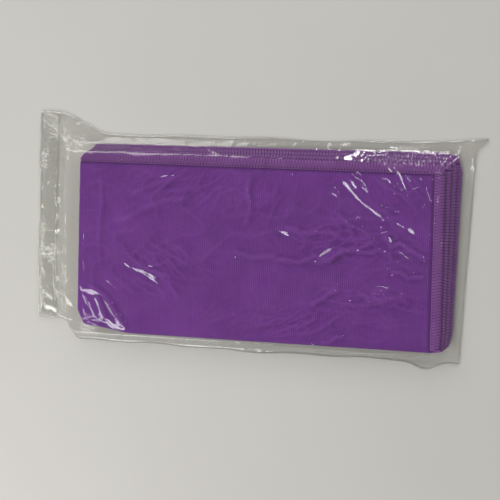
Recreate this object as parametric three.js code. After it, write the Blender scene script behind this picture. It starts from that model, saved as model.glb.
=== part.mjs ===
// A quick dry towel, folded twice and packed in a clear bag with a flap.
// Millimetres. +X runs along the towel to its cut short edges, +Y to its cut long edges, +Z up.
// The origin is on the surface that the bag lies on, under the middle of the bag's box.

import * as THREE from 'three';

// Driving dimensions of the towel
const foldedLength = 300.3;     // left fold to the back layer's cut edge
const foldedWidth = 153.6;      // bottom fold to the back layer's cut edge
const clothThickness = 1.6;
const hemmedThickness = 0.8;    // the cloth where the hem squeezes it
const layerPitch = 2.35;        // from one layer's middle to the next
const hemWidth = 6.3;
const threadThickness = 0.3;
const needleRowWidth = 0.8;
const shortEdgeStepTop = 4.7;   // how far each layer stands past the one above it
const shortEdgeStepBottom = 3.3;
const longEdgeStepLeft = 2.6;
const longEdgeStepRight = 3.4;
const upperCornerPull = 10.0;   // the folded upper corner is drawn in to the right
const upperCornerHeight = 14.0; // over this much of the fold, from its top
const lowerCornerPull = 5.0;    // the doubly folded corner is drawn in both ways
const lowerCornerHeight = 16.0;
const lowerCornerRise = 40.0;   // up to here the cloth is drawn up with it
const cornerLength = 50.0;      // along the towel, for both

// Driving dimensions of the bag
const filmThickness = 0.3;
const stripThickness = 0.2;
const stripWidth = 12.5;
const flapWidth = 17.3;
const sealWidth = 1.2;
const mouthMargin = 38.0;       // towel's left fold to the mouth
const endMargin = 10.0;         // towel's back layer to the closed end
const upperMargin = 8.5;        // towel's back layer to the upper side seal
const lowerMargin = 8.5;        // towel's bottom fold to the lower side seal
const mouthShift = 17.5;        // the mouth end lies this far up from the rest of the bag
const lowerTurn = 17.0;         // the lower edge turns up over this length
const upperTurn = 46.0;         // and the upper edge over this one
const slideRoom = 8.0;          // how far the towel can move towards the mouth

const clearance = 0.3;          // between pieces that touch
const arcSteps = 8;             // facets in each fold

// Derived places
const bagLength = mouthMargin + foldedLength + endMargin;
const mouthX = -bagLength / 2;
const endX = bagLength / 2;
const towelLeft = mouthX + mouthMargin;
const towelRight = towelLeft + foldedLength;
const bagWidth = lowerMargin + foldedWidth + upperMargin;
const bagBottom = -(bagWidth + mouthShift) / 2;
const bagTop = bagBottom + bagWidth;
const towelBottom = bagBottom + lowerMargin;
const towelTop = towelBottom + foldedWidth;
const frontFilmFloor = filmThickness + clearance;
const hemThickness = hemmedThickness + 2 * (clearance + threadThickness);
const towelFloor = filmThickness + clearance;
const stackMiddle = towelFloor + hemThickness / 2 + 1.5 * layerPitch;
const towelCeiling = stackMiddle + 1.5 * layerPitch + hemThickness / 2;
const frontFilmCeiling = towelCeiling + clearance;

const foldRadius = layerPitch / 2;               // the long fold, at the cloth's middle
const foldArc = Math.PI / 2 * foldRadius;        // from its crest to where a layer is flat
const wrapRadius = layerPitch;                   // the bottom fold, at the middle of two layers
const wrapArc = Math.PI / 2 * wrapRadius;
const foldCrest = towelLeft + clothThickness / 2;
const wrapCrest = towelBottom + foldRadius + clothThickness / 2;
const halfLength = foldedLength - clothThickness / 2 - foldRadius + foldArc;
const halfWidth = foldedWidth - clothThickness / 2 - foldRadius - wrapRadius + wrapArc;

const colours = {
  cloth: 0x5e2f7a, needle: 0x8d5f9c, looper: 0x7d4b8c, film: 0xd9dcd8, strip: 0xe8e8e0,
};

function material(colour, roughness) {
  return new THREE.MeshStandardMaterial({ color: colour, roughness, metalness: 0 });
}

function lerp(a, b, t) {
  return a + (b - a) * t;
}

function ease(t) {
  return THREE.MathUtils.smoothstep(t, 0, 1);
}

function spread(low, high, steps) {
  return Array.from({ length: steps + 1 }, (_, i) => lerp(low, high, i / steps));
}

// A closed plate. across and along are the stations of its two sides, and place(u, v, side)
// gives the point of a station on the lower (-1) or upper (+1) face.
function plate(across, along, place) {
  const columns = across.length - 1;
  const rows = along.length - 1;
  const geometry = new THREE.BoxGeometry(1, 1, 1, columns, rows, 1);
  const position = geometry.attributes.position;
  for (let i = 0; i < position.count; i++) {
    const u = across[Math.round((position.getX(i) + 0.5) * columns)];
    const v = along[Math.round((position.getY(i) + 0.5) * rows)];
    const [x, y, z] = place(u, v, Math.sign(position.getZ(i)));
    position.setXYZ(i, x, y, z);
  }
  geometry.computeVertexNormals();
  return geometry;
}

// Where a layer ends. Layer 0 is the front one and 3 the back one; each reaches past the last.
function shortEdge(layer, y) {
  const step = lerp(shortEdgeStepBottom, shortEdgeStepTop, (y - towelBottom) / foldedWidth);
  return towelRight - (3 - layer) * step;
}

function longEdge(layer, x) {
  const step = lerp(longEdgeStepLeft, longEdgeStepRight, (x - towelLeft) / foldedLength);
  return towelTop - (3 - layer) * step;
}

// The two folded corners on the left are drawn in, and lose their sharp points.
function drawIn(x, y) {
  const nearFold = ease((towelLeft + cornerLength - x) / cornerLength);
  const upper = ease((y - towelTop) / upperCornerHeight + 1);
  const lower = ease((towelBottom - y) / lowerCornerHeight + 1);
  const raised = ease((towelBottom - y) / lowerCornerRise + 1);
  return [
    x + nearFold * (upperCornerPull * upper + lowerCornerPull * lower),
    y + nearFold * lowerCornerPull * raised,
  ];
}

// Puts a point of the flat cloth where it lies in the folded towel.
// u is measured from the long fold: positive in the outer leaf, negative in the inner one.
// v is measured from the bottom fold: positive in front, negative at the back.
// n is the height over the cloth's middle, on the side that ends up outside.
function folded(u, v, n) {
  const foldAngle = THREE.MathUtils.clamp(u / foldArc, -1, 1) * Math.PI / 2;
  const wrapAngle = THREE.MathUtils.clamp(v / wrapArc, -1, 1) * Math.PI / 2;
  const layer = 1.5 - Math.sin(wrapAngle) * (1 + 0.5 * Math.sin(foldAngle));
  const uFlat = Math.max(0, Math.abs(u) - foldArc) / (halfLength - foldArc);
  const vFlat = Math.max(0, Math.abs(v) - wrapArc) / (halfWidth - wrapArc);

  const legStart = foldCrest + foldRadius;
  const runStart = wrapCrest + wrapRadius;
  let x = legStart - (foldRadius + n) * Math.cos(foldAngle);
  const height = (foldRadius + n) * Math.sin(foldAngle);
  let y = runStart - (wrapRadius + height) * Math.cos(wrapAngle);
  const roughY = lerp(runStart, towelTop, vFlat);
  x += uFlat * (shortEdge(layer, roughY) - legStart);
  y += vFlat * (longEdge(layer, x) - runStart);
  const z = stackMiddle + (wrapRadius + height) * Math.sin(wrapAngle);
  return [...drawIn(x, y), z];
}

const needleRow = clearance + needleRowWidth + clearance;   // between the looper's end and open cloth
const squeezed = hemWidth + needleRow;
const hemMiddle = hemWidth / 2;

// Stations from one cut edge to the other: open cloth, round the fold, and the hems at both ends.
function clothStations(arc, half) {
  const fold = spread(0, arc, arcSteps / 2).slice(1);
  const open = spread(arc, half - squeezed - clothThickness, 6).slice(1);
  const hem = [half - squeezed, half - hemWidth, half - hemMiddle, half];
  const side = [...fold, ...open, ...hem];
  return [...side.map((value) => -value).reverse(), 0, ...side];
}

function towelCloth() {
  return plate(clothStations(foldArc, halfLength), clothStations(wrapArc, halfWidth), (u, v, side) => {
    const fromEdge = Math.min(halfLength - Math.abs(u), halfWidth - Math.abs(v));
    const inHem = fromEdge < squeezed + clearance;
    return folded(u, v, side * (inHem ? hemmedThickness : clothThickness) / 2);
  });
}

// The three threads of one hem. at(edge, run, n) puts a point that is edge past the cloth's cut
// edge, run along it and n over the cloth's middle. flip is -1 where edge and run make a left hand.
function hemThreads(name, run, at, flip) {
  const inner = hemmedThickness / 2 + clearance;
  const outer = inner + threadThickness;
  const profile = [
    { edge: -hemWidth, low: inner, high: outer, past: 0 },
    { edge: -hemMiddle, low: inner, high: outer, past: 0 },
    { edge: clearance, low: inner, high: outer, past: threadThickness },
    { edge: clearance, low: clearance / 2, high: clearance / 2, past: threadThickness },
  ];
  const looper = (face) => plate([...profile.keys()], run, (index, s, side) => {
    const { edge, low, high, past } = profile[index];
    const outside = side * face * flip > 0;
    return at(edge + (outside ? past : 0), s, face * (outside ? high : low));
  });
  const needleEdge = -hemWidth - clearance;
  const needle = plate([needleEdge - needleRowWidth, needleEdge], run, (edge, s, side) =>
    at(edge, s, side * flip > 0 ? outer : inner));
  return [
    [`${name}_needle_thread`, needle, 'needle'],
    [`${name}_upper_looper_thread`, looper(1), 'looper'],
    [`${name}_lower_looper_thread`, looper(-1), 'looper'],
  ];
}

// The long sides' hems run past the corners, and the short sides' hems stop short of them.
function hems() {
  const pastCorner = halfLength + clearance + threadThickness;
  const alongLong = [-pastCorner, ...clothStations(foldArc, halfLength), pastCorner];
  const alongShort = clothStations(wrapArc, halfWidth).filter((v) => Math.abs(v) <= halfWidth - squeezed);
  return [
    ...hemThreads('front_long_side', alongLong, (edge, u, n) => folded(u, halfWidth + edge, n), -1),
    ...hemThreads('back_long_side', alongLong, (edge, u, n) => folded(u, -halfWidth - edge, n), 1),
    ...hemThreads('outer_short_side', alongShort, (edge, v, n) => folded(halfLength + edge, v, n), 1),
    ...hemThreads('inner_short_side', alongShort, (edge, v, n) => folded(-halfLength - edge, v, n), -1),
  ];
}

// How far up the bag lies at x, on its way to the shifted mouth. Its lower edge turns up sharply
// beside the towel's folded corner, and its upper edge slopes.
function lowerShift(x) {
  return mouthShift * ease((towelLeft + clearance - x) / lowerTurn);
}

function upperShift(x) {
  return mouthShift * ease((towelLeft + upperTurn / 2 - x) / upperTurn);
}

// The front film is low at its edges and rises over the towel. Each station is a place and the
// share of the full height that the film has there.
const layers = [0, 1, 2, 3];
const past = 2 * clearance + threadThickness;
const fullRise = frontFilmCeiling - frontFilmFloor;
const layerShare = (layer) => 1 - layer * layerPitch / fullRise;

function filmStationsX(y) {
  const room = towelLeft - slideRoom - past;
  return [
    [mouthX, 0], [mouthX + flapWidth + clearance, 0], [room, 1], [lerp(room, towelLeft, 0.5), 1],
    [towelLeft, 1], [towelLeft + upperTurn / 4, 1], [towelLeft + upperTurn / 2, 1], [0, 1],
    ...layers.map((layer) => [shortEdge(layer, y) + past, layerShare(layer)]),
    [endX - sealWidth, 0], [endX, 0],
  ];
}

function filmStationsY(x) {
  const low = bagBottom + sealWidth + clearance + lowerShift(x);
  const high = bagTop - sealWidth - clearance + upperShift(x);
  return [
    [low, 0], [towelBottom - past + lowerShift(x), 1],
    ...layers.map((layer) => [longEdge(layer, x) + past, layerShare(layer)]),
    [high, 0],
  ];
}

function frontFilm() {
  const columns = filmStationsX(0).map((_, i) => i);
  const rows = filmStationsY(0).map((_, i) => i);
  return plate(columns, rows, (column, row, side) => {
    const middleY = filmStationsY(0)[row][0];
    const [x, shareX] = filmStationsX(middleY)[column];
    const [y, shareY] = filmStationsY(x)[row];
    const rise = fullRise * Math.min(shareX, shareY);
    return [x, y, frontFilmFloor + rise + (side > 0 ? filmThickness : 0)];
  });
}

// A flat strip of the bag between two distances from its lower edge, following the mouth's shift.
function bagStrip(columns, lowEdge, highEdge, zLow, zHigh) {
  return plate(columns, [lowEdge, highEdge], (x, edge, side) => {
    const shift = lerp(lowerShift(x), upperShift(x), edge / bagWidth);
    return [x, bagBottom + edge + shift, side > 0 ? zHigh : zLow];
  });
}

function bag() {
  const columns = filmStationsX(0).map(([x]) => x);
  const inset = sealWidth + clearance;
  const sealTop = frontFilmFloor + filmThickness;
  const stripFloor = sealTop + clearance;
  const flapFloor = stripFloor + stripThickness + clearance;
  const foldGap = clearance;
  return [
    ['bag_front_film', frontFilm(), 'film'],
    ['bag_back_film', bagStrip(columns, inset, bagWidth - inset, 0, filmThickness), 'film'],
    ['lower_side_seal', bagStrip(columns, 0, sealWidth, 0, sealTop), 'film'],
    ['upper_side_seal', bagStrip(columns, bagWidth - sealWidth, bagWidth, 0, sealTop), 'film'],
    ['adhesive_strip', bagStrip(
      [mouthX + (flapWidth - stripWidth) / 2, mouthX + (flapWidth + stripWidth) / 2],
      inset, bagWidth - inset, stripFloor, stripFloor + stripThickness), 'strip'],
    ['bag_flap', bagStrip([mouthX + foldGap, mouthX + flapWidth],
      0, bagWidth, flapFloor, flapFloor + filmThickness), 'film'],
  ];
}

const towelInBag = new THREE.Group();
const finishes = {
  cloth: material(colours.cloth, 0.95),
  needle: material(colours.needle, 0.8),
  looper: material(colours.looper, 0.85),
  film: material(colours.film, 0.1),
  strip: material(colours.strip, 0.3),
};
for (const [name, geometry, finish] of [['towel_cloth', towelCloth(), 'cloth'], ...hems(), ...bag()]) {
  const piece = new THREE.Mesh(geometry, finishes[finish].clone());
  piece.name = name;
  towelInBag.add(piece);
}

export default towelInBag;
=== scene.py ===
"""A quick dry towel, folded twice and packed in its clear bag. Metres, +Z up."""

import math

import bpy
import numpy as np
from mathutils import Euler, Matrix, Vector, noise


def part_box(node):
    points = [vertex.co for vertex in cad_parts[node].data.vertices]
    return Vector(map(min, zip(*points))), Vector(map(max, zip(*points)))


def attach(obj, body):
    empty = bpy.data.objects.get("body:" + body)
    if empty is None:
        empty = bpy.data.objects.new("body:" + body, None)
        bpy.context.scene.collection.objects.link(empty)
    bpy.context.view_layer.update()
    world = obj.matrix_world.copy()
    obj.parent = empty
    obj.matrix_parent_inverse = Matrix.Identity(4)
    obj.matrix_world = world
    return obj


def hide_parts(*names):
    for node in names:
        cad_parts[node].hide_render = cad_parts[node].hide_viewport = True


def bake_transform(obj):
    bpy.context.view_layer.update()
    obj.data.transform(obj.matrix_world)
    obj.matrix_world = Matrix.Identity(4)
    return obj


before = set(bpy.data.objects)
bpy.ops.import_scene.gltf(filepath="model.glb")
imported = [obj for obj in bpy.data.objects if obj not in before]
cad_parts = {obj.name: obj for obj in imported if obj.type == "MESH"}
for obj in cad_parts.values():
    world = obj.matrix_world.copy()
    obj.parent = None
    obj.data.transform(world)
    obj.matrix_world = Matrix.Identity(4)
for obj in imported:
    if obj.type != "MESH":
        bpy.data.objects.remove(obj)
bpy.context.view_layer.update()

MM = 0.001

# The towel
LAYERS = 4
CLOTH_THICKNESS = 1.6 * MM
HEMMED_THICKNESS = 0.8 * MM
PINCHED_THICKNESS = 0.5 * MM             # under the needle's row
HEM_AND_NEEDLE = 7.7 * MM                # the hem with its needle row
NEEDLE_ROW = HEM_AND_NEEDLE - 0.7 * MM   # from the cut edge
SWELL_LENGTH = 3 * MM                    # from the needle's row to the cloth's full thickness
SHORT_EDGE_STEP = (3.3 * MM, 4.7 * MM)   # between layers, at the bottom fold and at the top
LONG_EDGE_STEP = (2.6 * MM, 3.4 * MM)    # between layers, at the left fold and on the right
UPPER_CORNER_PULL, UPPER_CORNER_HEIGHT = 10 * MM, 14 * MM
LOWER_CORNER_PULL, LOWER_CORNER_HEIGHT = 5 * MM, 16 * MM
LOWER_CORNER_RISE, CORNER_LENGTH = 40 * MM, 50 * MM
OPEN_CORNER, OPEN_CORNER_PULL = 17 * MM, 2.4 * MM   # the corners at the cut short edges
HEM_CREST = (2.9 * MM, 2.7 * MM, 0.8)    # place inward of the cut edge, half width, height in mm
HEM_GROOVE = (7.5 * MM, 1.5 * MM, 0.75)
PUFFED_SHARE = 0.2                       # of the stack's height, at its top, puffs up with the hem
STITCH_LENGTH = 2.4 * MM
CLOTH_PITCH = 1.5 * MM                   # spacing of the mesh in the front layer, which shows
HIDDEN_CLOTH_PITCH = 5 * MM              # and in the layers under it

# The bag
MOUTH_SHIFT = 17.5 * MM                  # how far the mouth's end is off line
LOWER_TURN, UPPER_TURN = 17 * MM, 46 * MM   # lengths over which the side edges bend that far
SLIDE_ROOM = 8 * MM                      # that the towel has towards the mouth
FILM_THICKNESS = 0.08 * MM
FILM_PITCH = 1.25 * MM                   # spacing of the front film's mesh
BACK_FILM_PITCH = 2 * MM
BEAD_PITCH = 1.5 * MM                    # of the side seals and the adhesive
HALF_CAD_FILM = 0.15 * MM                # half the thickness of the CAD's films
CLEARANCE = 0.3 * MM
PAST = 0.9 * MM                          # how far the film stays outside the towel
FILM_OVER = 0.55 * MM                    # and over its hem
SEAM_FLAT = 1.6 * MM                     # where the films lie together beside a seal

cloth_low, cloth_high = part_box("towel_cloth")
film_low, film_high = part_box("bag_front_film")
seal_low, seal_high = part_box("lower_side_seal")
upper_seal_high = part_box("upper_side_seal")[1]
flap_low, flap_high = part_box("bag_flap")
band_low, band_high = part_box("adhesive_strip")

towel_left, towel_right = cloth_low.x, cloth_high.x
towel_bottom, towel_top = cloth_low.y, cloth_high.y
folded_length, folded_width = towel_right - towel_left, towel_top - towel_bottom
stack_middle = (cloth_low.z + cloth_high.z) / 2
layer_pitch = (cloth_high.z - cloth_low.z - CLOTH_THICKNESS) / (LAYERS - 1)
mouth_x, end_x = film_low.x, film_high.x
bag_bottom = seal_low.y
bag_top = upper_seal_high.y - MOUTH_SHIFT
bag_width = bag_top - bag_bottom

fold_radius = layer_pitch / 2                # the long fold
fold_arc = math.pi / 2 * fold_radius
wrap_radius = layer_pitch                    # the bottom fold, round two layers
wrap_arc = math.pi / 2 * wrap_radius
fold_crest = towel_left + CLOTH_THICKNESS / 2
wrap_crest = towel_bottom + fold_radius + CLOTH_THICKNESS / 2
half_length = folded_length - CLOTH_THICKNESS / 2 - fold_radius + fold_arc
half_width = folded_width - CLOTH_THICKNESS / 2 - fold_radius - wrap_radius + wrap_arc


# ---------------------------------------------------------------- shaping

CREASE_TAPER = 0.15                      # share of a crease's length that fades in or out
STEEPEST = 0.858                         # a hump's steepest slope is this times its height over its width


def lerp(a, b, t):
    return a + (b - a) * t


def ease(t):
    t = np.clip(t, 0, 1)
    return t * t * (3 - 2 * t)


def hump(distance, width):
    """1 at distance 0, falling off like a bell."""
    return np.exp(-(distance / width) ** 2)


def rough(x, y, size, seed):
    """Soft random relief between -1 and 1, with features of the given size."""
    return np.array([noise.noise((a / size, b / size, seed)) for a, b in zip(x, y)])


def ridges(x, y, size, seed):
    """Random sharp ridges between 0 and 1, as in crumpled film."""
    return np.clip(1 - 2.2 * np.abs(rough(x, y, size, seed)), 0, 1) ** 2


def along_line(x, y, points):
    """How far each place is from a line through the points, and its share of the line's length."""
    points = np.array(points, float) * MM
    starts, ends = points[:-1], points[1:]
    lengths = np.hypot(*(ends - starts).T)
    before = np.concatenate([[0], np.cumsum(lengths)])
    nearest, share = np.full(x.shape, 1e9), np.zeros(x.shape)
    for start, end, length, run in zip(starts, ends, lengths, before):
        way = (end - start) / length
        reach = np.clip((x - start[0]) * way[0] + (y - start[1]) * way[1], 0, length)
        away = np.hypot(x - start[0] - reach * way[0], y - start[1] - reach * way[1])
        closer = away < nearest
        nearest = np.where(closer, away, nearest)
        share = np.where(closer, (run + reach) / before[-1], share)
    return nearest, share


def creases(x, y, lines):
    """The relief of creases, each given as (points, height, width) in millimetres."""
    relief = np.zeros(x.shape)
    for points, height, width in lines:
        away, share = along_line(x, y, points)
        taper = ease(share / CREASE_TAPER) * ease((1 - share) / CREASE_TAPER)
        relief += height * MM * taper * hump(away, width * MM)
    return relief


def spots(x, y, places):
    """1 at each listed place (x, y, reach along x, reach along y, in millimetres), falling off round it."""
    total = np.zeros(x.shape)
    for at_x, at_y, reach_x, reach_y in places:
        near = hump((x / MM - at_x) / reach_x, 1) * hump((y / MM - at_y) / reach_y, 1)
        total = np.maximum(total, near)
    return total


# ---------------------------------------------------------------- the folded cloth

# The towel's creases: points, height and width in millimetres.
CLOTH_CREASES = [
    ([(3, 50), (2, 35), (4, 18), (1, 5)], 0.6, 2.4),
    ([(-95, 26), (-75, 36), (-52, 43)], 0.6, 2.4),
    ([(-118, 45), (-117, 20), (-119, -10), (-117, -35)], 0.5, 2.2),
    ([(30, 8), (50, 2), (66, 6), (80, -2)], 0.7, 2.4),
    ([(88, -40), (100, -46), (118, -44), (132, -48)], 0.6, 2.4),
    ([(-105, -12), (-98, -16), (-87, -25), (-79, -30), (-63, -35), (-50, -44), (-33, -50)], 0.2, 2.4),
    ([(-75, -30), (-59, -41), (-50, -56)], 0.55, 2.3),
    ([(-101, 5), (-84, 16), (-64, 24), (-40, 27)], 0.66, 2.7),
    ([(107, 6), (114, -5), (120, -2), (126, -6), (133, -10), (143, -15)], 1.04, 1.8),
    ([(20, -17), (45, -20), (56, -15), (68, -17), (77, -9), (90, -7), (101, -1), (109, -4)], 0.95, 2.0),
    ([(113, -24), (121, -24), (127, -28), (133, -27), (140, -28)], 0.85, 1.6),
    ([(-10, -13), (8, -18), (28, -15)], 0.66, 2.3),
    ([(54, -54), (69, -43), (77, -39)], 0.95, 2.2),
    ([(63, -83), (71, -81), (76, -77), (83, -76)], 0.85, 1.8),
    ([(-128, -46), (-112, -55), (-107, -62), (-99, -74), (-92, -83)], 0.95, 2.0),
    ([(-120, -54), (-113, -69), (-109, -77)], 0.95, 1.6),
    ([(70, 20), (80, 12), (84, 2), (92, -4)], 0.66, 2.7),
]
CREASE_GAIN = 1.25
# Where it is rumpled: x, y, reach along x and along y, the wrinkles' angle and height.
RUMPLED = [
    (88, -4, 52, 20, -4, 1.5), (-72, -30, 36, 22, -35, 1.3), (40, -66, 56, 14, 24, 1.0),
    (100, -48, 38, 14, -8, 1.1), (-62, 36, 48, 18, 28, 0.8), (118, 34, 24, 18, -38, 1.0),
    (10, 30, 30, 22, 80, 0.6),
]
SWELLS = [(46, 0.5, 3.1), (15, 0.45, 7.7), (6, 0.16, 1.7)]   # size, height, seed
LOOSE_AREA, LOOSE_WRINKLE, LOOSE_HEIGHT = 60 * MM, 24 * MM, 0.5
BEND, BEND_SIZE = 5 * MM, 34 * MM        # how far a wrinkle wanders, and over what length
WIDE_WRINKLE, NARROW_WRINKLE, NARROW_HEIGHT = 11 * MM, 5 * MM, 0.4
# How far round each point the painted wrinkle shade looks, and how deep a wrinkle gets it in full.
SHADE_REACH, SHADE_DEPTH = 1.8 * MM, 0.22 * MM


def cloth_relief(x, y):
    """The rise and fall of the towel's front layer."""
    swell = sum(height * rough(x, y, size * MM, seed) for size, height, seed in SWELLS)
    loose = ease(rough(x, y, LOOSE_AREA, 12.4) * 2 + 0.5)
    wrinkles = LOOSE_HEIGHT * loose * ridges(x, y * 1.6, LOOSE_WRINKLE, 6.2)
    bend = BEND * rough(x, y, BEND_SIZE, 3.9)
    for seed, (at_x, at_y, reach_x, reach_y, angle, height) in enumerate(RUMPLED):
        turn = math.radians(angle)
        along = x * math.cos(turn) + y * math.sin(turn)
        across = y * math.cos(turn) - x * math.sin(turn) + bend
        near = spots(x, y, [(at_x, at_y, reach_x, reach_y)])
        wide = ridges(along * 0.32, across, WIDE_WRINKLE, 1.3 + seed)
        narrow = ridges(along * 0.5, across, NARROW_WRINKLE, 8.3 + seed)
        wrinkles += height * near * (wide + NARROW_HEIGHT * narrow)
    return (swell + wrinkles) * MM + CREASE_GAIN * creases(x, y, CLOTH_CREASES)


def wrinkle_shade_mask(x, y):
    """Mask for painted shade and highlight: 1 in the bottom of a wrinkle, darkened as painted shade, -1 on
    its crest, lightened as painted highlight.
    """
    sides = ((1, 0), (-1, 0), (0, 1), (0, -1))
    around = [cloth_relief(x + a * SHADE_REACH, y + b * SHADE_REACH) for a, b in sides]
    return np.clip((sum(around) / 4 - cloth_relief(x, y)) / SHADE_DEPTH, -1, 1)


def short_edge(layer, y):
    """Where a layer's cut short edge lies; layer 0 is the front one, whose edge lies furthest in."""
    step = lerp(*SHORT_EDGE_STEP, (y - towel_bottom) / folded_width)
    return towel_right - (LAYERS - 1 - layer) * step


def long_edge(layer, x):
    """Where a layer's cut long edge lies."""
    step = lerp(*LONG_EDGE_STEP, (x - towel_left) / folded_length)
    return towel_top - (LAYERS - 1 - layer) * step


def draw_in(x, y):
    """The corners of the folded towel lose their sharp points."""
    near_fold = ease((towel_left + CORNER_LENGTH - x) / CORNER_LENGTH)
    upper = ease((y - towel_top) / UPPER_CORNER_HEIGHT + 1)
    lower = ease((towel_bottom - y) / LOWER_CORNER_HEIGHT + 1)
    raised = ease((towel_bottom - y) / LOWER_CORNER_RISE + 1)
    near_hem = ease((x - towel_right) / OPEN_CORNER + 1)
    at_top = near_hem * ease((y - towel_top) / OPEN_CORNER + 1)
    at_bottom = near_hem * ease((towel_bottom - y) / OPEN_CORNER + 1)
    x = x + near_fold * (UPPER_CORNER_PULL * upper + LOWER_CORNER_PULL * lower)
    y = y + near_fold * LOWER_CORNER_PULL * raised
    return x - OPEN_CORNER_PULL * (at_top + at_bottom), y - OPEN_CORNER_PULL * (at_top - at_bottom)


def hem_swell(x, y):
    """The front layer's hems are puffed up, with a groove along the needle's row."""
    inward = np.minimum(long_edge(0, x) - y, short_edge(0, y) - x)
    crest, groove = [
        height * hump(inward - place, width) for place, width, height in (HEM_CREST, HEM_GROOVE)
    ]
    return MM * (crest - groove)


def folded(u, v, n):
    """Where a point of the flat cloth lies in the folded towel.

    u is measured from the long fold, positive in the outer leaf; v from the bottom fold,
    positive in front; n is the height over the cloth's middle, on the side that ends up outside.
    """
    fold_angle = np.clip(u / fold_arc, -1, 1) * np.pi / 2
    wrap_angle = np.clip(v / wrap_arc, -1, 1) * np.pi / 2
    layer = 1.5 - np.sin(wrap_angle) * (1 + 0.5 * np.sin(fold_angle))
    u_flat = np.maximum(0, np.abs(u) - fold_arc) / (half_length - fold_arc)
    v_flat = np.maximum(0, np.abs(v) - wrap_arc) / (half_width - wrap_arc)
    leg_start, run_start = fold_crest + fold_radius, wrap_crest + wrap_radius
    x = leg_start - (fold_radius + n) * np.cos(fold_angle)
    height = (fold_radius + n) * np.sin(fold_angle)
    y = run_start - (wrap_radius + height) * np.cos(wrap_angle)
    rough_y = lerp(run_start, towel_top, v_flat)
    x = x + u_flat * (short_edge(layer, rough_y) - leg_start)
    y = y + v_flat * (long_edge(layer, x) - run_start)
    z = stack_middle + (wrap_radius + height) * np.sin(wrap_angle)
    x, y = draw_in(x, y)
    share = np.clip((z - cloth_low.z) / (cloth_high.z - cloth_low.z), 0, 1)
    puffed = ease((share - 1) / PUFFED_SHARE + 1)
    return x, y, z + share * cloth_relief(x, y) + puffed * hem_swell(x, y)


# ---------------------------------------------------------------- making pieces

def select_only(piece):
    bpy.ops.object.select_all(action="DESELECT")
    piece.select_set(True)
    bpy.context.view_layer.objects.active = piece


def points_of(piece):
    flat = np.empty(len(piece.data.vertices) * 3)
    piece.data.vertices.foreach_get("co", flat)
    return flat.reshape(-1, 3)


def move_points(piece, x, y, z):
    piece.data.vertices.foreach_set("co", np.stack([x, y, z], 1).ravel())
    piece.data.update()


def add_grid(name, across, along):
    """A flat grid with its lines at the given stations."""
    bpy.ops.object.select_all(action="DESELECT")
    bpy.ops.mesh.primitive_grid_add(x_subdivisions=len(across) - 1, y_subdivisions=len(along) - 1, size=2)
    piece = bpy.context.object
    piece.name = piece.data.name = name
    x, y, _ = points_of(piece).T
    columns = np.rint((x + 1) / 2 * (len(across) - 1)).astype(int)
    rows = np.rint((y + 1) / 2 * (len(along) - 1)).astype(int)
    move_points(piece, np.array(across)[columns], np.array(along)[rows], np.zeros(len(x)))
    return piece


def turn_outward():
    """In edit mode: turns all faces outward."""
    bpy.ops.mesh.select_all(action="SELECT")
    bpy.ops.mesh.normals_make_consistent(inside=False)


def make_outward(piece):
    select_only(piece)
    bpy.ops.object.mode_set(mode="EDIT")
    turn_outward()
    bpy.ops.object.mode_set(mode="OBJECT")


def extrude_up(piece):
    """Makes the grid a closed plate, from 0 to 1."""
    select_only(piece)
    bpy.ops.object.mode_set(mode="EDIT")
    bpy.ops.mesh.select_all(action="SELECT")
    bpy.ops.mesh.extrude_region_move(TRANSFORM_OT_translate={"value": (0, 0, 1)})
    turn_outward()
    bpy.ops.object.mode_set(mode="OBJECT")


def keep_flat_places(piece, x, y, size):
    """Stores each point's place on the flat sheet as the UV map "flat", from 0 to 1 over size."""
    corners = np.empty(len(piece.data.loops), int)
    piece.data.loops.foreach_get("vertex_index", corners)
    layer = piece.data.uv_layers.active
    layer.name = "flat"
    places = np.stack([x[corners] / size + 0.5, y[corners] / size + 0.5], 1)
    layer.data.foreach_set("uv", places.ravel())


def mark(piece, name, values):
    """Stores a value for each point, which a material reads by its name."""
    layer = piece.data.attributes.new(name, "FLOAT", "POINT")
    layer.data.foreach_set("value", values)


def give_wall(piece):
    """Gives the film its thickness, half on either side."""
    select_only(piece)
    wall = piece.modifiers.new("wall", "SOLIDIFY")
    wall.thickness = FILM_THICKNESS
    wall.offset = 0
    bpy.ops.object.modifier_apply(modifier=wall.name)


def finish_piece(piece, material, body, nodes):
    select_only(piece)
    bpy.ops.object.shade_smooth()
    piece.data.materials.clear()
    piece.data.materials.append(material)
    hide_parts(*nodes)
    if body:
        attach(piece, body)
    return piece


# ---------------------------------------------------------------- node tools

class Nodes:
    """Adds and links the nodes of one tree."""

    def __init__(self, tree):
        self.tree = tree

    def add(self, kind, **values):
        node = self.tree.nodes.new(kind)
        for name, value in values.items():
            setattr(node, name, value)
        return node

    def link(self, source, target):
        self.tree.links.new(source, target)

    def fill(self, socket, value):
        if isinstance(value, bpy.types.NodeSocket):
            self.link(value, socket)
        else:
            socket.default_value = value

    def math(self, operation, first, second=0.0, third=0.0, clamp=False):
        node = self.add("ShaderNodeMath", operation=operation, use_clamp=clamp)
        for socket, value in zip(node.inputs, (first, second, third)):
            self.fill(socket, value)
        return node.outputs[0]

    def mix_colour(self, share, first, second):
        node = self.add("ShaderNodeMix", data_type="RGBA")
        self.fill(node.inputs[0], share)
        self.fill(node.inputs[6], first)
        self.fill(node.inputs[7], second)
        return node.outputs[2]

    def noise(self, vector, scale, detail=3.0, roughness=0.5):
        node = self.add("ShaderNodeTexNoise")
        self.fill(node.inputs["Vector"], vector)
        node.inputs["Scale"].default_value = scale
        node.inputs["Detail"].default_value = detail
        node.inputs["Roughness"].default_value = roughness
        return node.outputs["Fac"]

    def bump(self, height, strength, distance):
        node = self.add("ShaderNodeBump")
        node.inputs["Strength"].default_value = strength
        node.inputs["Distance"].default_value = distance
        self.link(height, node.inputs["Height"])
        return node.outputs["Normal"]


def new_material(name):
    material = bpy.data.materials.new(name)
    material.use_nodes = True
    material.node_tree.nodes.clear()
    return material, Nodes(material.node_tree)


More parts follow.
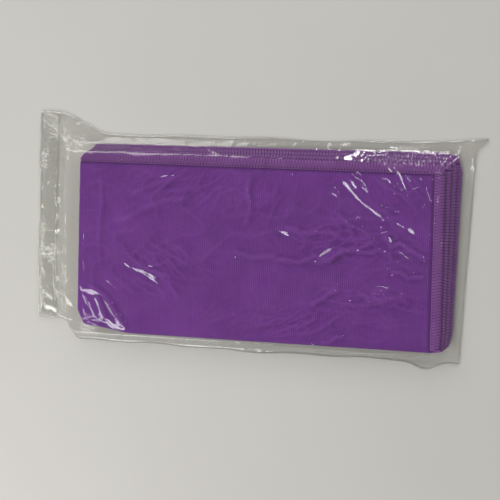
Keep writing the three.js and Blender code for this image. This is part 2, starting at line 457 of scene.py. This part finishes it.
def new_group(name, inputs, outputs):
    tree = bpy.data.node_groups.new(name, "ShaderNodeTree")
    for label, kind, value in inputs:
        socket = tree.interface.new_socket(label, in_out="INPUT", socket_type=kind)
        if value is not None:
            socket.default_value = value
    for label, kind in outputs:
        tree.interface.new_socket(label, in_out="OUTPUT", socket_type=kind)
    nodes = Nodes(tree)
    return tree, nodes, nodes.add("NodeGroupInput"), nodes.add("NodeGroupOutput")


def place_group(nodes, tree, **values):
    node = nodes.add("ShaderNodeGroup", node_tree=tree)
    for name, value in values.items():
        nodes.fill(node.inputs[name.replace("_", " ")], value)
    return node


def make_fibre_group():
    """Fine fibres and dusty lint: a height for the bump and a mask for the colour."""
    tree, nodes, given, out = new_group(
        "fibres",
        [("Place", "NodeSocketVector", None), ("Scale", "NodeSocketFloat", 900.0)],
        [("Height", "NodeSocketFloat"), ("Lint", "NodeSocketFloat")],
    )
    fine = nodes.add("ShaderNodeTexNoise")
    nodes.link(given.outputs["Place"], fine.inputs["Vector"])
    nodes.link(given.outputs["Scale"], fine.inputs["Scale"])
    fine.inputs["Detail"].default_value = 4
    patches = nodes.noise(given.outputs["Place"], 55, 3, 0.6)
    lint = nodes.math("MULTIPLY_ADD", patches, 1.8, -0.55, clamp=True)
    nodes.link(fine.outputs["Fac"], out.inputs["Height"])
    nodes.link(lint, out.inputs["Lint"])
    return tree


def make_knit_group():
    """Vertical ribs of small v-shaped loops, on the flat cloth's own places in metres."""
    tree, nodes, given, out = new_group(
        "knit",
        [("Place", "NodeSocketVector", None), ("Rib", "NodeSocketFloat", 1.6 * MM),
         ("Loop", "NodeSocketFloat", 1.1 * MM)],
        [("Height", "NodeSocketFloat"), ("Groove", "NodeSocketFloat")],
    )
    split = nodes.add("ShaderNodeSeparateXYZ")
    nodes.link(given.outputs["Place"], split.inputs[0])
    wobble = nodes.noise(given.outputs["Place"], 160, 2)
    sway = nodes.math("MULTIPLY_ADD", wobble, 0.5, -0.25)
    column = nodes.math("ADD", nodes.math("DIVIDE", split.outputs["X"], given.outputs["Rib"]), sway)
    rib = nodes.math("ABSOLUTE", nodes.math("SINE", nodes.math("MULTIPLY", column, math.pi)))
    lean = nodes.math("PINGPONG", column, 0.5)
    row = nodes.math("ADD", nodes.math("DIVIDE", split.outputs["Y"], given.outputs["Loop"]), lean)
    loop = nodes.math("ABSOLUTE", nodes.math("SINE", nodes.math("MULTIPLY", row, math.pi)))
    rounded = nodes.math("POWER", rib, 0.6)
    looped = nodes.math("MULTIPLY_ADD", loop, 0.45, 0.55)
    height = nodes.math("MULTIPLY", rounded, looped)
    # Groove is where the cloth is darkened as painted shade, between the ribs and the loops.
    groove = nodes.math("SUBTRACT", 1.0, height, clamp=True)
    nodes.link(height, out.inputs["Height"])
    nodes.link(groove, out.inputs["Groove"])
    return tree


def knit_cloth(name, colour, deep, dusty):
    """Knit with painted shade in the deep colour in its grooves, in the wrinkles' hollows and along the
    needle's row; lint in the dusty colour, which also paints a highlight on the wrinkles' crests.
    """
    material, nodes = new_material(name)
    own = nodes.add("ShaderNodeUVMap", uv_map="flat")
    scaled = nodes.add("ShaderNodeVectorMath", operation="SCALE")
    nodes.link(own.outputs[0], scaled.inputs[0])
    scaled.inputs["Scale"].default_value = 2 * half_length
    place = scaled.outputs[0]
    knit = place_group(nodes, KNIT, Place=place)
    fibres = place_group(nodes, FIBRES, Place=place, Scale=1500.0)
    # Painted shade: the knit's grooves darkened towards the deep colour.
    body = nodes.mix_colour(knit.outputs["Groove"], colour, deep)
    dusted = nodes.mix_colour(nodes.math("MULTIPLY", fibres.outputs["Lint"], 0.35), body, dusty)
    broad = nodes.noise(place, 22, 2)
    shade = nodes.mix_colour(nodes.math("MULTIPLY_ADD", broad, 0.7, -0.1, clamp=True), dusted, deep)
    # Painted shade in the wrinkles' hollows, and painted highlight in the dusty colour on their crests.
    painted_wrinkle_shade = nodes.add("ShaderNodeAttribute", attribute_name="painted_wrinkle_shade").outputs["Fac"]
    shade = nodes.mix_colour(nodes.math("MULTIPLY", painted_wrinkle_shade, 0.65, clamp=True), shade, deep)
    shade = nodes.mix_colour(nodes.math("MULTIPLY", painted_wrinkle_shade, -0.25, clamp=True), shade, dusty)
    # Painted shade along the needle's row, in the crevice where the cloth is pinched.
    painted_seam_shade = nodes.add("ShaderNodeAttribute", attribute_name="painted_seam_shade").outputs["Fac"]
    shade = nodes.mix_colour(painted_seam_shade, shade, deep)
    height = nodes.math("MULTIPLY_ADD", fibres.outputs["Height"], 0.25, knit.outputs["Height"])
    skin = nodes.add("ShaderNodeBsdfPrincipled")
    nodes.link(shade, skin.inputs["Base Color"])
    nodes.link(nodes.math("MULTIPLY_ADD", knit.outputs["Groove"], 0.15, 0.8), skin.inputs["Roughness"])
    skin.inputs["Specular IOR Level"].default_value = 0.25
    skin.inputs["Sheen Weight"].default_value = 0.2
    skin.inputs["Sheen Roughness"].default_value = 0.45
    skin.inputs["Sheen Tint"].default_value = (0.55, 0.25, 0.8, 1)
    nodes.link(nodes.bump(height, 0.7, 0.35 * MM), skin.inputs["Normal"])
    nodes.link(skin.outputs[0], nodes.add("ShaderNodeOutputMaterial").inputs[0])
    return material


def sewing_thread(name, colour, deep, dusty):
    """Matt yarn with fine fibres."""
    material, nodes = new_material(name)
    place = nodes.add("ShaderNodeTexCoord").outputs["Object"]
    fibres = place_group(nodes, FIBRES, Place=place, Scale=2600.0)
    body = nodes.mix_colour(fibres.outputs["Height"], deep, colour)
    dusted = nodes.mix_colour(nodes.math("MULTIPLY", fibres.outputs["Lint"], 0.5), body, dusty)
    skin = nodes.add("ShaderNodeBsdfPrincipled")
    nodes.link(dusted, skin.inputs["Base Color"])
    nodes.link(nodes.math("MULTIPLY_ADD", fibres.outputs["Lint"], 0.2, 0.6), skin.inputs["Roughness"])
    skin.inputs["Specular IOR Level"].default_value = 0.3
    skin.inputs["Sheen Weight"].default_value = 0.3
    skin.inputs["Sheen Tint"].default_value = (0.75, 0.55, 0.8, 1)
    nodes.link(nodes.bump(fibres.outputs["Height"], 0.6, 0.12 * MM), skin.inputs["Normal"])
    nodes.link(skin.outputs[0], nodes.add("ShaderNodeOutputMaterial").inputs[0])
    return material


def clear_plastic(name, haze, imprint, bubbles=0.0):
    """Clear film: see-through, with a gloss that grows as it is seen on edge, and a little milky."""
    material, nodes = new_material(name)
    place = nodes.add("ShaderNodeTexCoord").outputs["Object"]
    crumple = nodes.noise(place, 330, 3, 0.55)
    cells = nodes.add("ShaderNodeTexVoronoi")
    nodes.link(place, cells.inputs["Vector"])
    cells.inputs["Scale"].default_value = 420
    pressed = nodes.add("ShaderNodeAttribute", attribute_name="pressed").outputs["Fac"]
    dots = nodes.math("MULTIPLY", cells.outputs["Distance"], pressed)
    height = nodes.math("MULTIPLY_ADD", dots, imprint, nodes.math("MULTIPLY", crumple, 0.25))
    normal = nodes.bump(height, 1.0, 0.3 * MM)
    clear = nodes.add("ShaderNodeBsdfTransparent")
    clear.inputs[0].default_value = (0.985, 0.985, 0.98, 1)
    milk = nodes.add("ShaderNodeBsdfDiffuse")
    milk.inputs[0].default_value = (0.86, 0.86, 0.84, 1)
    gloss = nodes.add("ShaderNodeBsdfGlossy")
    gloss.inputs["Roughness"].default_value = 0.09
    gloss.inputs["Color"].default_value = (1, 1, 1, 1)
    nodes.link(normal, gloss.inputs["Normal"])
    clouds = nodes.noise(place, 90, 3)
    haziness = nodes.math("MULTIPLY_ADD", clouds, haze, haze / 2)
    if bubbles:
        spots = nodes.math("LESS_THAN", cells.outputs["Distance"], 0.28)
        haziness = nodes.math("MULTIPLY_ADD", spots, bubbles, haziness)
    body = nodes.add("ShaderNodeMixShader")
    nodes.link(haziness, body.inputs[0])
    nodes.link(clear.outputs[0], body.inputs[1])
    nodes.link(milk.outputs[0], body.inputs[2])
    slant = nodes.add("ShaderNodeLayerWeight")
    slant.inputs["Blend"].default_value = 0.5
    mirror = nodes.math("MULTIPLY_ADD", nodes.math("POWER", slant.outputs["Facing"], 5.0), 0.9, 0.026)
    surface = nodes.add("ShaderNodeMixShader")
    nodes.link(mirror, surface.inputs[0])
    nodes.link(body.outputs[0], surface.inputs[1])
    nodes.link(gloss.outputs[0], surface.inputs[2])
    nodes.link(surface.outputs[0], nodes.add("ShaderNodeOutputMaterial").inputs[0])
    return material


FIBRES = make_fibre_group()
KNIT = make_knit_group()
# deep is also the colour of the painted shade, and dusty that of the painted highlight on the wrinkles'
# crests as well as of the lint.
CLOTH = knit_cloth(
    "purple_microfibre",
    colour=(0.180, 0.036, 0.300, 1), deep=(0.085, 0.012, 0.150, 1), dusty=(0.215, 0.062, 0.32, 1),
)
NEEDLE = sewing_thread(
    "needle_thread",
    colour=(0.30, 0.12, 0.36, 1), deep=(0.10, 0.030, 0.14, 1), dusty=(0.36, 0.17, 0.40, 1),
)
LOOPER = sewing_thread(
    "looper_thread",
    colour=(0.27, 0.078, 0.35, 1), deep=(0.12, 0.027, 0.175, 1), dusty=(0.32, 0.125, 0.38, 1),
)
FILM = clear_plastic("clear_bag_film", haze=0.004, imprint=3.2)
BEAD = clear_plastic("melted_seal", haze=0.12, imprint=0)
ADHESIVE = clear_plastic("clear_adhesive", haze=0.08, imprint=0.4, bubbles=0.05)


# ---------------------------------------------------------------- the towel

def stations(*stretches):
    """Joins stretches of (start, end, steps) to one rising list of places."""
    places = [np.linspace(start, end, steps + 1)[1:] for start, end, steps in stretches]
    return np.concatenate([[stretches[0][0]], *places])


def cloth_stations(arc, half):
    """Places across the flat cloth: fine on the side that ends up in front, wide on the other."""
    open_end = half - HEM_AND_NEEDLE - SWELL_LENGTH
    hem_start = half - HEM_AND_NEEDLE + 0.7 * MM
    sides = [
        stations(
            (0, arc, 7), (arc, open_end, round((open_end - arc) / pitch)),
            (open_end, hem_start, 6), (hem_start, half, 4),
        )
        for pitch in (HIDDEN_CLOTH_PITCH, CLOTH_PITCH)
    ]
    return np.concatenate([-sides[0][:0:-1], sides[1]])


def make_cloth():
    across = cloth_stations(fold_arc, half_length)
    along = cloth_stations(wrap_arc, half_width)
    cloth = add_grid("folded_cloth", across, along)
    extrude_up(cloth)
    u, v, side = points_of(cloth).T
    from_edge = np.minimum(half_length - np.abs(u), half_width - np.abs(v))
    thickness = np.where(
        from_edge > NEEDLE_ROW,
        lerp(PINCHED_THICKNESS, CLOTH_THICKNESS, ease((from_edge - NEEDLE_ROW) / SWELL_LENGTH)),
        lerp(HEMMED_THICKNESS, PINCHED_THICKNESS, ease(from_edge / NEEDLE_ROW)),
    )
    x, y, z = folded(u, v, (side * 2 - 1) * thickness / 2)
    move_points(cloth, x, y, z)
    keep_flat_places(cloth, u, v, 2 * half_length)
    # Painted shade in the wrinkles' hollows and painted highlight on their crests, from the relief round
    # each point.
    mark(cloth, "painted_wrinkle_shade", wrinkle_shade_mask(x, y))
    # Painted shade along the needle's row, in the crevice where the cloth is pinched.
    mark(cloth, "painted_seam_shade", hump(from_edge - NEEDLE_ROW - 0.3 * MM, 1.5 * MM))
    make_outward(cloth)
    return finish_piece(cloth, CLOTH, "towel", ["towel_cloth"])


# One stitch of each thread, as (past the cut edge, along the hem, over the cloth's middle).
LOOPER_STITCH = [
    (-6.5, 0.12, 0.42), (-6.1, 0.22, 0.70), (-4.6, 0.42, 0.76), (-1.6, 0.52, 0.74),
    (-0.2, 0.60, 0.66), (0.34, 0.70, 0.12), (0.34, 1.12, 0.12), (-0.2, 1.30, 0.66),
    (-1.6, 1.45, 0.74), (-4.6, 1.60, 0.76), (-6.1, 2.05, 0.70), (-6.5, 2.25, 0.42),
]
NEEDLE_STITCH = [
    (-7.05, 0.20, 0.22), (-7.0, 0.45, 0.55), (-7.0, 1.2, 0.68), (-7.0, 1.95, 0.55), (-7.05, 2.20, 0.22),
]
LOOPER_RADIUS, NEEDLE_RADIUS = 0.33 * MM, 0.26 * MM
STRAND_SPREAD = 1.35                     # a strand lies flat: wider than it is high
STRAY, STRAY_SIZE = 0.05 * MM, 2.1 * MM  # how far a stitch is off its place


def add_strand(name, points, radius, widths=None):
    """A round strand through the points, closed at both ends."""
    bpy.ops.object.select_all(action="DESELECT")
    bpy.ops.curve.primitive_nurbs_path_add()
    strand = bpy.context.object
    strand.name = name
    curve = strand.data
    curve.splines.clear()
    spline = curve.splines.new("POLY")
    spline.points.add(len(points) - 1)
    for index, (point, place) in enumerate(zip(spline.points, points)):
        point.co = (*place, 1)
        point.radius = 1 if widths is None else widths[index]
    curve.bevel_depth = radius
    curve.bevel_resolution = 1
    curve.use_fill_caps = True
    bpy.ops.object.convert(target="MESH")
    strand.data.name = name
    return strand


def add_stitch(name, path, radius, face):
    """One stitch of yarn, lying flat on the upper (1) or lower (-1) face."""
    narrow = [(edge * MM, run * MM / STRAND_SPREAD, rise * MM * face) for edge, run, rise in path]
    stitch = add_strand(name, narrow, radius)
    x, y, z = points_of(stitch).T
    move_points(stitch, x, y * STRAND_SPREAD, z)
    return stitch


def repeat_along(stitch, start, end):
    """Copies the stitch side by side from start to end, fitting a whole number of them."""
    count = max(1, round((end - start) / STITCH_LENGTH))
    pitch = (end - start) / count
    select_only(stitch)
    row = stitch.modifiers.new("row", "ARRAY")
    row.count = count
    row.use_relative_offset = False
    row.use_constant_offset = True
    row.constant_offset_displace = (0, STITCH_LENGTH, 0)
    bpy.ops.object.modifier_apply(modifier=row.name)
    x, y, z = points_of(stitch).T
    move_points(stitch, x, start + y * pitch / STITCH_LENGTH, z)


def make_hem(hem, start, end, place):
    """The three threads of one hem; place(edge, run, n) puts their points on the folded towel."""
    threads = []
    kinds = [
        ("needle_thread", NEEDLE_STITCH, NEEDLE_RADIUS, 1, NEEDLE, "hem_needle_thread"),
        ("upper_looper_thread", LOOPER_STITCH, LOOPER_RADIUS, 1, LOOPER, "hem_looper_thread"),
        ("lower_looper_thread", LOOPER_STITCH, LOOPER_RADIUS, -1, LOOPER, "hem_looper_thread"),
    ]
    for kind, path, radius, face, material, slot in kinds:
        node = f"{hem}_{kind}"
        thread = add_stitch(f"{hem}_{kind}_stitches", path, radius, face)
        repeat_along(thread, start, end)
        edge, run, n = points_of(thread).T
        stray = STRAY * rough(run, edge, STRAY_SIZE, 4.4 + face)
        move_points(thread, *place(edge + stray, run + 2 * stray, n))
        make_outward(thread)
        threads.append(finish_piece(thread, material, "towel", [node]))
    return threads


def make_hems():
    past_corner = half_length + CLEARANCE
    stop = half_width - HEM_AND_NEEDLE
    ends = (-past_corner, past_corner)
    return [
        *make_hem("front_long_side", *ends, lambda e, u, n: folded(u, half_width + e, n)),
        *make_hem("back_long_side", *ends, lambda e, u, n: folded(u, -half_width - e, n)),
        *make_hem("outer_short_side", -stop, stop, lambda e, v, n: folded(half_length + e, v, n)),
        *make_hem("inner_short_side", -stop, stop, lambda e, v, n: folded(-half_length - e, v, n)),
    ]


# ---------------------------------------------------------------- the bag

# The film's creases: points, steepness of the flanks and width in millimetres.
FILM_CREASES = [
    # over the towel
    ([(71, 52), (84, 37), (92, 29), (101, 23), (108, 18), (118, 15), (127, 11), (139, 3)], 0.64, 2.7),
    ([(106, 62), (109, 57), (115, 50), (120, 39), (125, 33), (135, 27)], 0.58, 2.0),
    ([(124, 16), (134, 12), (142, 5), (147, -3)], 0.46, 1.8),
    ([(107, 6), (114, -5), (120, -2), (126, -6), (133, -10), (143, -15)], 0.3, 1.8),
    ([(113, -24), (121, -24), (127, -28), (133, -27), (140, -28)], 0.3, 1.6),
    ([(-131, -53), (-124, -62)], 0.36, 2.2),
    ([(-120, -54), (-116, -61), (-113, -69), (-109, -77)], 0.36, 2.2),
    ([(-128, -46), (-112, -55), (-107, -62), (-99, -74), (-92, -83)], 0.36, 2.2),
    ([(-130, -65), (-124, -73)], 0.36, 2.0),
    ([(-130, 50), (-130.5, 20), (-129, -31), (-128, -47)], 0.4, 1.5),
    # left of the towel
    ([(-173, -32), (-168, -36), (-161, -41)], 0.34, 2.2),
    ([(-171, -61), (-168, -64), (-155, -70), (-144, -74), (-136, -75)], 0.36, 2.3),
    ([(-158, -53), (-149, -53)], 0.32, 1.7),
    ([(-144, -58), (-139, -64)], 0.34, 1.8),
    ([(-154, 73), (-149, 65), (-147, 61)], 0.36, 2.2),
    ([(-149, 73), (-145, 65), (-142, 60)], 0.36, 2.0),
    ([(-167, 70), (-158, 74)], 0.36, 1.9),
    ([(-134, 79), (-128, 87)], 0.34, 2.2),
    ([(-156, 60), (-157, 20), (-156, -30), (-157, -62)], 0.4, 2.2),
    ([(-148, 55), (-149, 10), (-147, -45)], 0.25, 2.6),
    # above, right of and below the towel
    ([(62, 71.5), (72, 71), (82, 71)], 0.66, 1.8),
    ([(107, 69), (112, 68.5), (117, 69)], 0.64, 1.8),
    ([(160, 67), (165, 71), (170, 75), (175, 79)], 0.6, 2.2),
    ([(169, 58), (173, 50), (174, 43)], 0.4, 2.4),
    ([(148, -83), (153, -86), (159, -89)], 0.56, 1.8),
    ([(159, -84), (163, -87), (167, -89)], 0.56, 1.7),
    ([(148, -90), (153, -91), (158, -89)], 0.6, 1.7),
    ([(-100, -89), (-40, -91), (20, -90.5), (80, -91.5), (128, -90)], 0.35, 1.8),
    ([(-60, -93), (0, -93.5), (50, -92.5)], 0.3, 1.5),
]
# Where the film is finely crumpled, as spots() takes it.
GLITTER = [
    (-164, 85, 7, 7), (-170, 56, 5, 10), (-171, -4, 4, 7), (-171, -20, 4, 13), (-161, -25, 5, 9),
    (-141, 70, 7, 5), (-168, -56, 5, 6), (-125, -78, 7, 5), (-158, 78, 9, 6),
]
# Where it is pressed on the hems under it.
PRESSED = [(122, 61, 26, 5), (146, 62, 5, 4), (150, 0, 3, 3)]
# Its crumples: size, seed, and height everywhere, in the margins, at the left end and in the glitter.
CRUMPLES = [(17, 9.1, 0.12, 0.2, 0.7, 0), (5.5, 2.3, 0.03, 0.08, 0.3, 0.45), (3.6, 4.9, 0, 0, 0, 0.4)]
# Where the bag's side edges bulge outward: place along x, reach and height, in millimetres.
LOWER_BULGES = [(8, 40, 1.3), (146, 10, 6)]
UPPER_BULGES = [(176, 14, 3.0), (67, 35, -1.6)]
END_START, END_LENGTH = 0.16, 0.014      # the closed end, which is skewed and has an ear
EAR_PLACE, EAR_WIDTH, EAR_LENGTH = 78 * MM, 6 * MM, 8 * MM
SKEW, SKEW_PIVOT = 3.6 * MM, 55 * MM
RAGGED_LENGTH = 6 * MM                   # along the mouth
LIFT_START, LIFT_LENGTH = 7 * MM, 6.1 * MM   # where the front film rises over the bottom fold


def lower_shift(x):
    """How far the bag's lower edge is off line, towards its mouth."""
    return MOUTH_SHIFT * ease((towel_left + CLEARANCE - x) / LOWER_TURN)


def upper_shift(x):
    """How far the bag's upper edge is off line, towards its mouth."""
    return MOUTH_SHIFT * ease((towel_left + UPPER_TURN / 2 - x) / UPPER_TURN)


def bulge(x, bulges):
    return sum(height * hump(x - place * MM, reach * MM) for place, reach, height in bulges)


def bag_place(x, share):
    """A place of the bag between its lower (0) and upper (1) edge, with its ears and wavy edges."""
    low = bag_bottom + lower_shift(x) - MM * (bulge(x, LOWER_BULGES) + 0.5 * np.sin(x / (9 * MM)))
    high = bag_top + upper_shift(x) + MM * (bulge(x, UPPER_BULGES) + 0.4 * np.sin(x / (11 * MM)))
    y = lerp(low, high, share)
    at_end = ease((x - END_START) / END_LENGTH)
    ear = EAR_LENGTH * hump(y - EAR_PLACE, EAR_WIDTH)
    skew = SKEW * (y - SKEW_PIVOT) / bag_width
    at_mouth = ease((mouth_x + RAGGED_LENGTH - x) / RAGGED_LENGTH)
    ragged = 0.5 * MM * np.sin(y / (13 * MM)) + 0.3 * MM * np.sin(y / (5 * MM))
    return x + at_end * (ear + skew) + at_mouth * ragged, y


over_towel = cloth_high.z + FILM_OVER
at_edges = film_low.z + HALF_CAD_FILM


def rise_over_steps(outside, step, room):
    """The film's share of its full height where it comes down over the four layers' edges."""
    last_share = 1 - (LAYERS - 1) * layer_pitch / (over_towel - at_edges)
    on_layers = lerp(last_share, 1, -outside / ((LAYERS - 1) * step))
    beyond = last_share * (1 - outside / room)
    return np.where(outside < 0, on_layers, beyond)


def film_rise(x, y):
    """The front film's share of its full height, on every side of the towel."""
    top_step = lerp(*LONG_EDGE_STEP, (x - towel_left) / folded_length)
    top_room = bag_top + upper_shift(x) - towel_top - PAST - SEAM_FLAT
    top = rise_over_steps(y - towel_top - PAST, top_step, top_room)
    right_step = lerp(*SHORT_EDGE_STEP, (y - towel_bottom) / folded_width)
    right = rise_over_steps(x - towel_right - PAST, right_step, end_x - towel_right - PAST - SEAM_FLAT)
    bottom = ease((y - towel_bottom - lower_shift(x) + LIFT_START) / LIFT_LENGTH)
    room = towel_left - SLIDE_ROOM - PAST
    left = ease((x - flap_high.x) / (room - flap_high.x))
    return np.clip(np.minimum.reduce([top, right, bottom, left, np.ones(x.shape)]), 0, 1)


def film_relief(x, y, seed=0.0):
    """Crumples and creases of the film, never below 0."""
    inside = np.minimum.reduce(
        [x - towel_left, towel_right - 12 * MM - x, towel_top - 9 * MM - y, y - towel_bottom])
    margin = 1 - ease((inside + 4 * MM) / (8 * MM))
    left_end = ease((towel_left + 6 * MM - x) / (10 * MM))
    glitter = spots(x, y, GLITTER)
    relief = MM * sum(
        ridges(x, y, size * MM, at + seed)
        * (everywhere + in_margin * margin + at_left * left_end + in_glitter * glitter)
        for size, at, everywhere, in_margin, at_left, in_glitter in CRUMPLES
    )
    lines = [(points, slope * width / STEEPEST, width) for points, slope, width in FILM_CREASES]
    return relief + creases(x, y, lines)


def front_film_height(x, y):
    """Over the towel, wherever it slides to: the film spans the towel's wrinkles."""
    share = film_rise(x, y)
    base = lerp(at_edges, over_towel, share)
    slides = np.linspace(0, SLIDE_ROOM, 6)
    lifted = np.maximum.reduce(
        [cloth_relief(x + slide, y) + np.maximum(0, hem_swell(x + slide, y)) for slide in slides])
    return base + np.clip(2 * share - 0.5, 0, 1) * (lifted + 0.1 * MM) + film_relief(x, y)


def back_film_height(x, y):
    """Flat under the towel and crumpled round it."""
    under_towel = ease((x - towel_left) / (6 * MM) + 1) * ease((towel_right - x) / (6 * MM) + 1)
    return HALF_CAD_FILM + 0.25 * MM * (1 - under_towel) * ridges(x, y, 14 * MM, 5.2)


def mark_pressed(piece):
    x, y, _ = points_of(piece).T
    mark(piece, "pressed", np.clip(1.4 * spots(x, y, PRESSED + GLITTER), 0, 1))


def even(start, end, pitch=FILM_PITCH):
    """Places from start to end, about one pitch apart."""
    return np.linspace(start, end, max(2, round((end - start) / pitch) + 1))


def make_front_film():
    film = add_grid("front_film", even(mouth_x + 0.6 * MM, end_x), even(0, 1, FILM_PITCH / bag_width))
    x, y = bag_place(*points_of(film).T[:2])
    move_points(film, x, y, front_film_height(x, y))
    mark_pressed(film)
    give_wall(film)
    return finish_piece(film, FILM, "bag", ["bag_front_film"])


def make_back_film():
    across = even(mouth_x + 0.9 * MM, end_x, BACK_FILM_PITCH)
    film = add_grid("back_film", across, even(0, 1, BACK_FILM_PITCH / bag_width))
    x, y = bag_place(*points_of(film).T[:2])
    move_points(film, x, y, back_film_height(x, y))
    mark_pressed(film)
    give_wall(film)
    return finish_piece(film, FILM, "bag", ["bag_back_film"])


def make_seal(name, share, node):
    """The melted bead along one side of the bag, a little lumpy."""
    across = even(mouth_x + 0.5 * MM, end_x - 0.3 * MM, BEAD_PITCH)
    x, y = bag_place(across, np.full(across.shape, share))
    radius = (seal_high.z - seal_low.z) / 2
    lumps = 1 + 0.3 * rough(x, y, 7 * MM, 6.6)
    bead = add_strand(name, np.stack([x, y, radius * lumps], 1), radius, lumps)
    return finish_piece(bead, BEAD, "bag", [node])


def make_flap():
    """The flap, which goes on from the back film round the mouth and lies on the front film."""
    bottom, top = HALF_CAD_FILM, (flap_low.z + flap_high.z) / 2
    radius = (top - bottom) / 2
    centre = mouth_x + radius + 0.05 * MM
    turn = math.pi * radius
    length = turn + flap_high.x - centre
    run = stations((0, turn, 8), (turn, length, round((length - turn) / MM)))
    flap = add_grid("closing_flap", run, even(0, 1, FILM_PITCH / bag_width))
    along, share, _ = points_of(flap).T
    angle = np.clip(along / radius, 0, math.pi)
    x = centre - radius * np.sin(angle) + np.maximum(0, along - turn)
    x, y = bag_place(x, share)
    free = ease((along - turn) / (3 * MM))
    wavy_end = ease((along - length + 5 * MM) / (5 * MM)) * 0.4 * MM * np.sin(y / (7 * MM))
    height = bottom + radius * (1 - np.cos(angle)) + free * film_relief(x, y, 3.0)
    move_points(flap, x + wavy_end, y, height)
    mark_pressed(flap)
    give_wall(flap)
    finish_piece(flap, FILM, None, ["bag_flap"])
    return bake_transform(flap)


def make_adhesive():
    """The wavy strip of adhesive under the flap, which stops short of both side seals."""
    across = even(band_low.x, band_high.x, BEAD_PITCH)
    band = add_grid("adhesive_band", across, even(0.012, 0.988, BEAD_PITCH / bag_width))
    extrude_up(band)
    x, share, side = points_of(band).T
    wavy = 0.35 * MM * rough(np.sign(x - x.mean()) * 0.1, share, 0.05, 1.9)
    x, y = bag_place(x + wavy, share)
    height = lerp(band_low.z, band_high.z + 0.1 * MM, side)
    move_points(band, x, y, height + 0.06 * MM * rough(x, y, 4 * MM, 8.2) * side)
    mark_pressed(band)
    make_outward(band)
    return finish_piece(band, ADHESIVE, "flap", ["adhesive_strip"])


# ---------------------------------------------------------------- the set

CAMERA_PLACE = (0.06399, 0.01925, 0.47653)
CAMERA_TURN = (-3.5402, 7.2899, 2.2302)  # in degrees, about X, Y and Z
SENSOR_WIDTH, FOCAL_LENGTH = 36, 43.2    # in millimetres, as Blender takes them
WALLS, CEILING = (0.30, 0.30, 0.29, 1), (0.10, 0.10, 0.105, 1)
TABLE_DARK, TABLE_LIGHT = (0.45, 0.44, 0.41, 1), (0.49, 0.48, 0.455, 1)
TABLE_SIZE = 4


def make_camera():
    turn = Euler([math.radians(angle) for angle in CAMERA_TURN])
    bpy.ops.object.camera_add(location=CAMERA_PLACE, rotation=turn)
    camera = bpy.context.object
    camera.data.sensor_width = SENSOR_WIDTH
    camera.data.lens = FOCAL_LENGTH
    bpy.context.scene.camera = camera


def add_lamp(name, place, size, power, colour=(1, 1, 1), aim=(0, 0, 0)):
    """A soft lamp of the given width and height that looks at the towel."""
    bpy.ops.object.light_add(type="AREA", location=place)
    lamp = bpy.context.object
    lamp.name = name
    lamp.rotation_euler = (Vector(aim) - Vector(place)).to_track_quat("-Z", "Y").to_euler()
    lamp.data.shape = "RECTANGLE"
    lamp.data.size, lamp.data.size_y = size
    lamp.data.energy = power
    lamp.data.color = colour


def make_room():
    """The walls and the ceiling, as the background, and the lamps."""
    scene = bpy.context.scene
    scene.view_settings.view_transform = "Standard"
    scene.cycles.transparent_max_bounces = 24
    world = bpy.data.worlds.new("studio")
    scene.world = world
    world.use_nodes = True
    nodes = Nodes(world.node_tree)
    background = world.node_tree.nodes["Background"]
    split = nodes.add("ShaderNodeSeparateXYZ")
    nodes.link(nodes.add("ShaderNodeTexCoord").outputs["Generated"], split.inputs[0])
    height = nodes.math("MULTIPLY_ADD", split.outputs["Z"], 1.25, -0.1, clamp=True)
    nodes.link(nodes.mix_colour(height, WALLS, CEILING), background.inputs["Color"])
    background.inputs["Strength"].default_value = 1
    add_lamp("upper_window", (-1.35, 1.92, 1.20), (2.20, 1.40), 48, (1, 0.99, 0.97))
    add_lamp("lower_window", (-0.60, -0.92, 0.90), (1.00, 0.50), 14, (1, 1, 0.98))
    add_lamp("left_window", (-1.12, -0.41, 0.74), (0.70, 0.22), 4, (1, 1, 0.98))
    add_lamp("far_window", (0.24, 1.15, 0.40), (0.20, 0.17), 3)
    add_lamp("right_window", (1.50, 0.75, 1.15), (0.60, 0.40), 10, (0.98, 0.99, 1))
    add_lamp("ceiling_lamp", (0.285, 0.166, 1.20), (0.06, 0.03), 0.10, aim=(0.285, 0.166, 0))


def make_table():
    bpy.ops.object.select_all(action="DESELECT")
    bpy.ops.mesh.primitive_plane_add(size=TABLE_SIZE, location=(0, 0, -0.05 * MM))
    floor = bpy.context.object
    floor.name = "table"
    bpy.ops.object.transform_apply(location=True, rotation=True, scale=True)
    material, nodes = new_material("pale_table")
    place = nodes.add("ShaderNodeTexCoord").outputs["Object"]
    mottle = nodes.noise(place, 6, 4)
    skin = nodes.add("ShaderNodeBsdfPrincipled")
    nodes.link(nodes.mix_colour(mottle, TABLE_DARK, TABLE_LIGHT), skin.inputs["Base Color"])
    skin.inputs["Roughness"].default_value = 0.7
    nodes.link(skin.outputs[0], nodes.add("ShaderNodeOutputMaterial").inputs[0])
    floor.data.materials.append(material)


make_camera()
make_room()
make_table()
cloth = make_cloth()
hems = make_hems()
back_film = make_back_film()
make_seal("lower_seal_bead", 0.0, "lower_side_seal")
make_seal("upper_seal_bead", 1.0, "upper_side_seal")
make_front_film()
make_flap()
make_adhesive()
